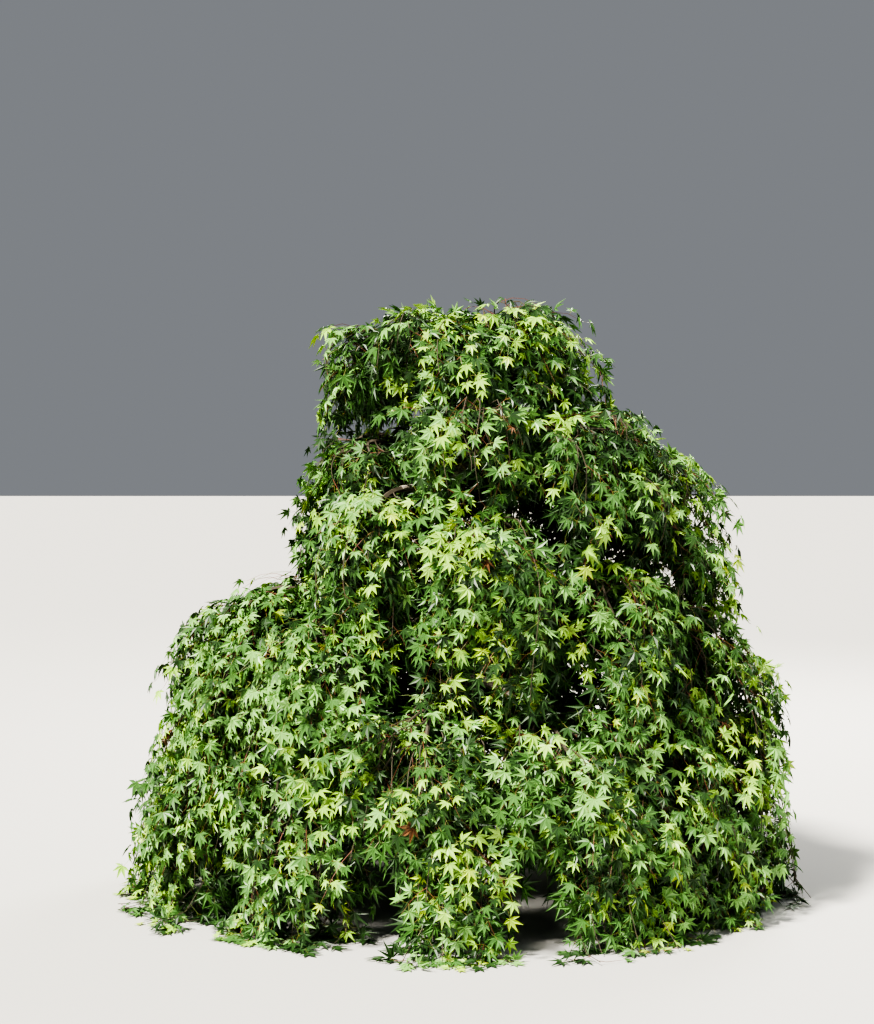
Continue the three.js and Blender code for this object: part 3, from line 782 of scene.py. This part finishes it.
def bough_spurs(mass, rng):
    """The spurs of a bough: side shoots that leave its outer part to the left and right in turn and rise over
    it, so that the fork of the trunk has leaves above it."""
    share = mix(*SPUR_PLACES, (np.arange(SPURS) + rng.uniform(0, 1, SPURS)) / SPURS)
    foot = bough_line(mass, share)
    out = np.broadcast_to(UP, foot.shape)
    turn = np.radians(rng.uniform(*SPUR_TURN, SPURS)) * np.where(np.arange(SPURS) % 2, 1, -1)
    way = shoot_way(foot, bough_line(mass, share + STEP_AHEAD), out, turn, rng.uniform(*SPUR_RISE, SPURS))
    spurs = {
        "foot": foot, "out": out, "way": way, "length": rng.uniform(*SPUR_LENGTH, SPURS),
        "youth": np.full(SPURS, YOUNG_LEAST), "shade": np.zeros(SPURS, dtype=bool),
    }
    tip, _ = shoot_at(spurs, np.array([1.0]))
    return only(inside_space(mass, tip[:, 0]) & ~in_hollow(tip[:, 0]), spurs)


def shoot_at(shoots, u):
    """Places and directions on every side shoot at the shares u of its length: straight on by the share,
    and down by the sag times the share squared."""
    u = u[None, :, None]
    length = shoots["length"][:, None, None]
    place = shoots["foot"][:, None] + length * (shoots["way"][:, None] * u - UP * SHOOT_SAG * u * u)
    place[..., 2] = np.maximum(place[..., 2], GROUND_CLEARANCE + SHOOT_CLEARANCE)
    return place, unit(shoots["way"][:, None] - UP * 2 * SHOOT_SAG * u)


def inside_space(mass, points):
    """True where a point is in its mass's space: inside the angle that the mass keeps to and the room at its
    sides, not much further out than its reach, and under its head room."""
    distance = np.hypot(points[..., 0], points[..., 1])
    bearing = np.degrees(np.arctan2(points[..., 1], points[..., 0]))
    turn = np.abs((bearing - mass["bearing"] + 540) % 360 - 180)
    beside = turn < mass["spread"] + np.degrees(SIDE_ROOM / distance)
    room = SHOOT_ROOM + TRAIL_ROOM * (1 - smooth(points[..., 2] / TRAIL_HEIGHT))
    within = distance < mass["reach"] + mass["flare"] / 2 + room
    return beside & within & (points[..., 2] < mass["crest"] + HEAD_ROOM)


def shoot_skins(shoots, rng):
    """The side shoots as thin closed tubes of three sides, green or red by chance."""
    u = np.linspace(0, 1, SHOOT_POINTS)
    paths, _ = shoot_at(shoots, u)
    radii = np.broadcast_to(mix(SHOOT_RADIUS, SHOOT_TIP_RADIUS, u)[None, :, None], (*paths.shape[:2], 1))
    reference = np.cross(shoots["way"], SHOOT_REFERENCE)
    points, faces = closed_skins(rings_along(paths, radii, SHOOT_SIDES, reference))
    look = rng.integers(1, len(TWIG_LOOKS), len(paths))
    return points, faces, np.repeat(look, len(faces) // len(paths))


# Leaves

def leaf_pattern(shouldered):
    """Points and triangles of one leaf round its heart, its middle lobe 1 long along y. Each long lobe has a
    tip and, if shouldered, a point on both sides where it is widest, each gap is a point on the line between
    two lobes, and all are joined in a fan from the heart. Shoulders and gaps stand up from the midribs."""
    rim = []
    for index, (turn, length) in enumerate(zip(np.radians(LOBE_TURNS), LOBE_LENGTHS)):
        tip = np.array([math.sin(turn), math.cos(turn)]) * length
        beside = np.array([math.cos(turn), -math.sin(turn)]) * length * LOBE_HALF_WIDTH
        wide = shouldered and length > LONG_LOBE
        if wide:
            rim.append([*(tip * LOBE_WIDEST - beside), LOBE_FOLD])
        rim.append([*tip, 0])
        if wide:
            rim.append([*(tip * LOBE_WIDEST + beside), LOBE_FOLD])
        if index + 1 < len(LOBE_TURNS):
            middle = math.radians((LOBE_TURNS[index] + LOBE_TURNS[index + 1]) / 2)
            depth = SINUS * min(length, LOBE_LENGTHS[index + 1])
            rim.append([math.sin(middle) * depth, math.cos(middle) * depth, LOBE_FOLD])
    points = np.array([[0, 0, 0], *rim], dtype=float)
    first = np.arange(1, len(rim))
    return points, np.stack([np.zeros_like(first), first + 1, first], axis=1)


def laid_low(way, out, heart, size):
    """The leaves' ways, with those that would run into the ground laid just above it, and where that is. A
    way that dips by more than the room below it, as a share of the leaf's length, dips by that much only."""
    room = np.clip((heart[..., 2] - GROUND_CLEARANCE) / (LOW_LENGTH * size), *LOW_ROOM)
    sunk = way[..., 2] < -room
    level = unit(way * [1, 1, 0] + out * [LOW_LEAN, LOW_LEAN, 0])
    low = level * np.sqrt(1 - room**2)[..., None] - UP * room[..., None]
    return np.where(sunk[..., None], low, way), sunk


def leaf_frames(shoots, rng):
    """Where each leaf grows: five on a side shoot, two pairs and one at the tip. A stalk leaves the shoot to
    its side and outwards, and the leaf hangs from it, its face outwards and up, each a little its own way."""
    node, along = shoot_at(shoots, LEAF_PLACES)
    out = np.broadcast_to(shoots["out"][:, None], node.shape)
    across = unit(np.cross(along, out))
    shape = node.shape[:2]
    turn = np.radians(LEAF_TURN * LEAF_SIDES + rng.uniform(-LEAF_TURN_LUCK, LEAF_TURN_LUCK, shape))
    stalk = along * np.cos(turn)[..., None] + across * np.sin(turn)[..., None]
    stalk = unit(stalk + out * rng.uniform(*STALK_RISE, shape)[..., None])
    heart = node + stalk * rng.uniform(*LEAF_STALK, shape)[..., None]
    heart[..., 2] = np.maximum(heart[..., 2], 2 * GROUND_CLEARANCE)
    size = rng.uniform(*LEAF_LENGTH, shape)
    size = size * np.where(shoots["shade"], SHADE_LEAF_GROWTH, 1.0)[:, None]
    size = size * mix(1.0, YOUNG_LEAF_GROWTH, shoots["youth"])[:, None]
    way = stalk - UP * rng.uniform(*LEAF_DROOP, shape)[..., None]
    way = unit(way + rng.normal(0, LEAF_TILT, (*shape, 3)))
    way, sunk = laid_low(way, out, heart, size)
    face = out + UP * rng.uniform(*FACE_RISE, shape)[..., None] + rng.normal(0, FACE_TILT, (*shape, 3))
    face = np.where(sunk[..., None], UP + LOW_FACE * face, face)
    face = unit(face - way * (face * way).sum(-1, keepdims=True))
    return {"node": node, "heart": heart, "way": way, "face": face, "size": size}


def leaves_mesh(leaves, pattern, fan, rng):
    """Points and triangles of many leaves and their stalks. A leaf's point is its heart plus its size times
    the pattern's x across, y along and z out, narrowed, creased more or less, and bent down by a share of the
    distance from the heart squared. A stalk is a ribbon of two triangles."""
    count = len(leaves["size"])
    narrow = rng.uniform(*LEAF_NARROW, count)[:, None]
    bend = rng.uniform(*LEAF_BEND, count)[:, None]
    crease = rng.uniform(*LEAF_CREASE, count)[:, None]
    x = pattern[None, :, 0] * narrow
    y = np.repeat(pattern[None, :, 1], count, axis=0)
    z = pattern[None, :, 2] * crease - bend * (x * x + y * y)
    across = np.cross(leaves["way"], leaves["face"])
    spots = np.stack([x, y, z], axis=-1) * leaves["size"][:, None, None]
    axes = np.stack([across, leaves["way"], leaves["face"]], axis=1)
    blades = leaves["heart"][:, None] + spots @ axes
    blades[..., 2] = np.maximum(blades[..., 2], GROUND_CLEARANCE)
    half = across[:, None] * STALK_WIDTH / 2 * np.array([-1, 1, 1, -1])[None, :, None]
    ends = np.stack([leaves["node"], leaves["node"], leaves["heart"], leaves["heart"]], axis=1)
    stalks = ends + half
    blade_faces = fan[None] + (np.arange(count) * len(pattern))[:, None, None]
    ribbon = np.array([[0, 1, 2], [0, 2, 3]])
    stalk_faces = ribbon[None] + (count * len(pattern) + np.arange(count) * 4)[:, None, None]
    points = np.concatenate([blades.reshape(-1, 3), stalks.reshape(-1, 3)])
    faces = np.concatenate([blade_faces.reshape(-1, 3), stalk_faces.reshape(-1, 3)])
    choice = np.concatenate([np.repeat(leaves["tone"], len(fan)), np.full(count * len(ribbon), STALK_TONE)])
    return points, faces, choice


def leaf_tones(shoots, rng):
    """The number of each leaf's colour, dealt out by spray: one of four greens by chance, and in the shade
    one of the two darkest, which is painted shade. A young spray in the light has fresh green at the outer
    leaves, often with a paler tip, and a few sprays of any kind have a bronze tip."""
    count = len(shoots["length"])
    luck = rng.uniform(0, 1, count)
    # Painted shade: the leaves in the shade take only the two darkest greens
    tone = np.where(shoots["shade"], luck > PAINTED_SHADE_LIMIT, np.digitize(luck, TONE_LIMITS))
    tones = np.repeat(tone[:, None], len(LEAF_PLACES), axis=1)
    young = (rng.uniform(0, 1, count) < shoots["youth"]) & ~shoots["shade"]
    tones[young, 2:] = FRESH_TONE
    tones[young & (rng.uniform(0, 1, count) < TIP_SHARE), -1] = TIP_TONE
    bronze = rng.uniform(0, 1, count) < BRONZE_SHARE
    tones[bronze, -1] = BRONZE_TONE
    return tones


def foliage_pieces(mass, leaf_colours, twig_colours):
    """The leaves of a mass in one piece, and its stem, runners and shoots in another, which together stand
    for its node. Leaves in the light have shoulders on their lobes, and those in the shade have none."""
    rng = np.random.default_rng(mass["seed"])
    runners = runners_of(mass, rng)
    shoots = side_shoots(mass, runners, rng)
    spurs = bough_spurs(mass, rng)
    shoots = {key: np.concatenate([shoots[key], spurs[key]]) for key in shoots}
    leaves = leaf_frames(shoots, rng)
    leaves["tone"] = leaf_tones(shoots, rng)
    keep = inside_space(mass, leaves["heart"]) & ~in_hollow(leaves["heart"])
    shaded = np.broadcast_to(shoots["shade"][:, None], keep.shape)
    lit_skin = leaves_mesh(only(keep & ~shaded, leaves), *leaf_pattern(True), rng)
    shade_skin = leaves_mesh(only(keep & shaded, leaves), *leaf_pattern(False), rng)
    points, faces, choice = joined([lit_skin, shade_skin])
    green = mesh_piece("leaves_" + mass["name"], points, faces, leaf_colours, choice)
    points, faces, choice = joined([runner_skins(mass, runners), shoot_skins(shoots, rng)])
    twigs = mesh_piece("twigs_" + mass["name"], points, faces, twig_colours, choice)
    for piece in (green, twigs):
        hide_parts("foliage_" + mass["name"])
    return [green, twigs]


# Materials

def linear(hex_colour):
    """A colour written as red, green and blue bytes, in the linear values that the shader takes."""
    parts = np.array([hex_colour >> 16, hex_colour >> 8 & 255, hex_colour & 255]) / 255
    return (*np.where(parts <= 0.04045, parts / 12.92, ((parts + 0.055) / 1.055) ** 2.4), 1.0)


def plain_material(name, hex_colour, roughness, specular):
    material = bpy.data.materials.new(name)
    material.use_nodes = True
    shader = material.node_tree.nodes["Principled BSDF"]
    shader.inputs["Base Color"].default_value = linear(hex_colour)
    shader.inputs["Roughness"].default_value = roughness
    shader.inputs["Specular IOR Level"].default_value = specular
    return material


def feed(tree, value, socket):
    """Links an output to a socket, or sets the socket to a plain value."""
    if isinstance(value, bpy.types.NodeSocket):
        tree.links.new(value, socket)
    else:
        socket.default_value = value


def attribute_node(tree, name):
    node = tree.nodes.new("ShaderNodeAttribute")
    node.attribute_name = name
    return node


def noise_node(tree, vector, scale, detail):
    node = tree.nodes.new("ShaderNodeTexNoise")
    node.inputs["Detail"].default_value = detail
    tree.links.new(vector, node.inputs["Vector"])
    feed(tree, scale, node.inputs["Scale"])
    return node.outputs["Fac"]


def math_node(tree, operation, a, b):
    node = tree.nodes.new("ShaderNodeMath")
    node.operation = operation
    feed(tree, a, node.inputs[0])
    feed(tree, b, node.inputs[1])
    return node.outputs["Value"]


def ramp_node(tree, value, first, second):
    """A colour that runs from first to second with the value. Each is a position and a colour."""
    node = tree.nodes.new("ShaderNodeValToRGB")
    for element, (position, colour) in zip(node.color_ramp.elements, (first, second)):
        element.position = position
        element.color = colour
    tree.links.new(value, node.inputs["Fac"])
    return node.outputs["Color"]


def bark_group():
    """The grain that trunk and boughs share, on the straightened limb: Streaks run along it, Flecks are fine
    and even, and Patches are broad."""
    group = bpy.data.node_groups.new("bark_grain", "ShaderNodeTree")
    for name, value in (("Streak Scale", 90.0), ("Stretch", 0.12), ("Patch Scale", 9.0)):
        socket = group.interface.new_socket(name, in_out="INPUT", socket_type="NodeSocketFloat")
        socket.default_value = value
    for name in ("Streaks", "Flecks", "Patches", "Ridge"):
        group.interface.new_socket(name, in_out="OUTPUT", socket_type="NodeSocketFloat")
    nodes, links = group.nodes, group.links
    given = nodes.new("NodeGroupInput").outputs
    result = nodes.new("NodeGroupOutput").inputs
    straight = attribute_node(group, "straight").outputs["Vector"]
    squash = nodes.new("ShaderNodeCombineXYZ")
    squash.inputs["X"].default_value = 1
    squash.inputs["Y"].default_value = 1
    links.new(given["Stretch"], squash.inputs["Z"])
    along = nodes.new("ShaderNodeVectorMath")
    along.operation = "MULTIPLY"
    links.new(straight, along.inputs[0])
    links.new(squash.outputs["Vector"], along.inputs[1])
    links.new(noise_node(group, along.outputs["Vector"], given["Streak Scale"], 6), result["Streaks"])
    links.new(noise_node(group, straight, FLECK_SCALE, 3), result["Flecks"])
    links.new(noise_node(group, straight, given["Patch Scale"], 3), result["Patches"])
    links.new(attribute_node(group, "ridge").outputs["Fac"], result["Ridge"])
    return group


def bark_material(group, name, dark, pale, patch, streak_scale, depth):
    """Bark: dark in the furrows and pale on the ridges, streaked along the limb, with broad patches of a
    third colour, rougher where it is dark."""
    material = bpy.data.materials.new(name)
    material.use_nodes = True
    tree = material.node_tree
    shader = tree.nodes["Principled BSDF"].inputs
    shader["Specular IOR Level"].default_value = BARK_SPECULAR
    grain = tree.nodes.new("ShaderNodeGroup")
    grain.node_tree = group
    grain.inputs["Streak Scale"].default_value = streak_scale
    streaks = grain.outputs["Streaks"]
    # The bark's tone: darker in the furrows and paler on the streaks of the ridges
    lifted = math_node(tree, "ADD", grain.outputs["Ridge"], FURROW_KEEP)
    ridge_tone = math_node(tree, "MULTIPLY", streaks, lifted)
    colours = ramp_node(tree, ridge_tone, (DARKEST_AT, linear(dark)), (PALEST_AT, linear(pale)))
    blend = tree.nodes.new("ShaderNodeMix")
    blend.data_type = "RGBA"
    feed(tree, ramp_node(tree, grain.outputs["Patches"], *PATCH_RAMP), blend.inputs["Factor"])
    feed(tree, colours, blend.inputs["A"])
    feed(tree, linear(patch), blend.inputs["B"])
    feed(tree, blend.outputs["Result"], shader["Base Color"])
    smoother = math_node(tree, "MULTIPLY", ridge_tone, PALE_SMOOTHER)
    feed(tree, math_node(tree, "SUBTRACT", BARK_ROUGHEST, smoother), shader["Roughness"])
    bump = tree.nodes.new("ShaderNodeBump")
    bump.inputs["Strength"].default_value = BUMP_STRENGTH
    bump.inputs["Distance"].default_value = depth
    flecks = math_node(tree, "MULTIPLY", grain.outputs["Flecks"], FLECK_HEIGHT)
    feed(tree, math_node(tree, "ADD", streaks, flecks), bump.inputs["Height"])
    feed(tree, bump.outputs["Normal"], shader["Normal"])
    return material


# The studio

def set_camera():
    data = bpy.data.cameras.new("camera")
    data.sensor_fit = "VERTICAL"
    data.sensor_height = SENSOR_HEIGHT
    data.lens = FOCAL_PIXELS / IMAGE_HEIGHT * SENSOR_HEIGHT
    camera = bpy.data.objects.new("camera", data)
    camera.location = CAMERA_PLACE
    camera.rotation_euler = (math.radians(90 - CAMERA_DIP), 0, 0)
    bpy.context.scene.collection.objects.link(camera)
    bpy.context.scene.camera = camera


def soft_light(name, place, aim, size, watts, colour):
    """A square lamp that faces the point aim."""
    data = bpy.data.lights.new(name, "AREA")
    data.size = size
    data.energy = watts
    data.color = colour
    lamp = bpy.data.objects.new(name, data)
    way = np.array(aim) - np.array(place)
    lamp.location = place
    lamp.rotation_euler = (
        math.atan2(math.hypot(way[0], way[1]), -way[2]), 0, math.atan2(way[1], way[0]) - math.pi / 2,
    )
    bpy.context.scene.collection.objects.link(lamp)


def set_studio():
    """A level pale floor, a pale surround, and three lamps: the key from the upper left in front, a weak one
    from the right and one from behind."""
    corners = np.array([[-1, -1, 0], [1, -1, 0], [1, 1, 0], [-1, 1, 0]], dtype=float) * FLOOR_HALF
    floor = mesh_piece("floor", corners, np.array([[0, 1, 2], [0, 2, 3]]), [plain_material(*FLOOR_LOOK)])
    world = bpy.data.worlds.new("surround")
    world.use_nodes = True
    surround = world.node_tree.nodes["Background"].inputs
    surround["Color"].default_value = SURROUND_COLOUR
    surround["Strength"].default_value = SURROUND_STRENGTH
    bpy.context.scene.world = world
    key = bpy.data.objects.new("key", bpy.data.lights.new("key", "SUN"))
    key.data.energy = KEY_STRENGTH
    key.data.angle = math.radians(KEY_SPREAD)
    key.data.color = KEY_COLOUR
    key.rotation_euler = (math.radians(KEY_TILT), 0, math.radians(KEY_TURN))
    bpy.context.scene.collection.objects.link(key)
    for lamp in SOFT_LAMPS:
        soft_light(*lamp)


set_camera()
set_studio()
bpy.context.scene.view_settings.look = "AgX - High Contrast"

grain = bark_group()
trunk_bark = bark_material(grain, *TRUNK_BARK)
bough_bark = bark_material(grain, *BOUGH_BARK)
leaf_colours = [plain_material(*look) for look in LEAF_LOOKS]
twig_colours = [plain_material(*look) for look in TWIG_LOOKS]

masses = grown_masses()
pieces = [trunk_piece(trunk_bark)]
for tier in TIERS:
    pieces.append(bough_piece(tier, [mass for mass in masses if mass["name"].startswith(tier)], bough_bark))
for mass in masses:
    pieces += foliage_pieces(mass, leaf_colours, twig_colours)
for piece in pieces:
    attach(piece, "root")
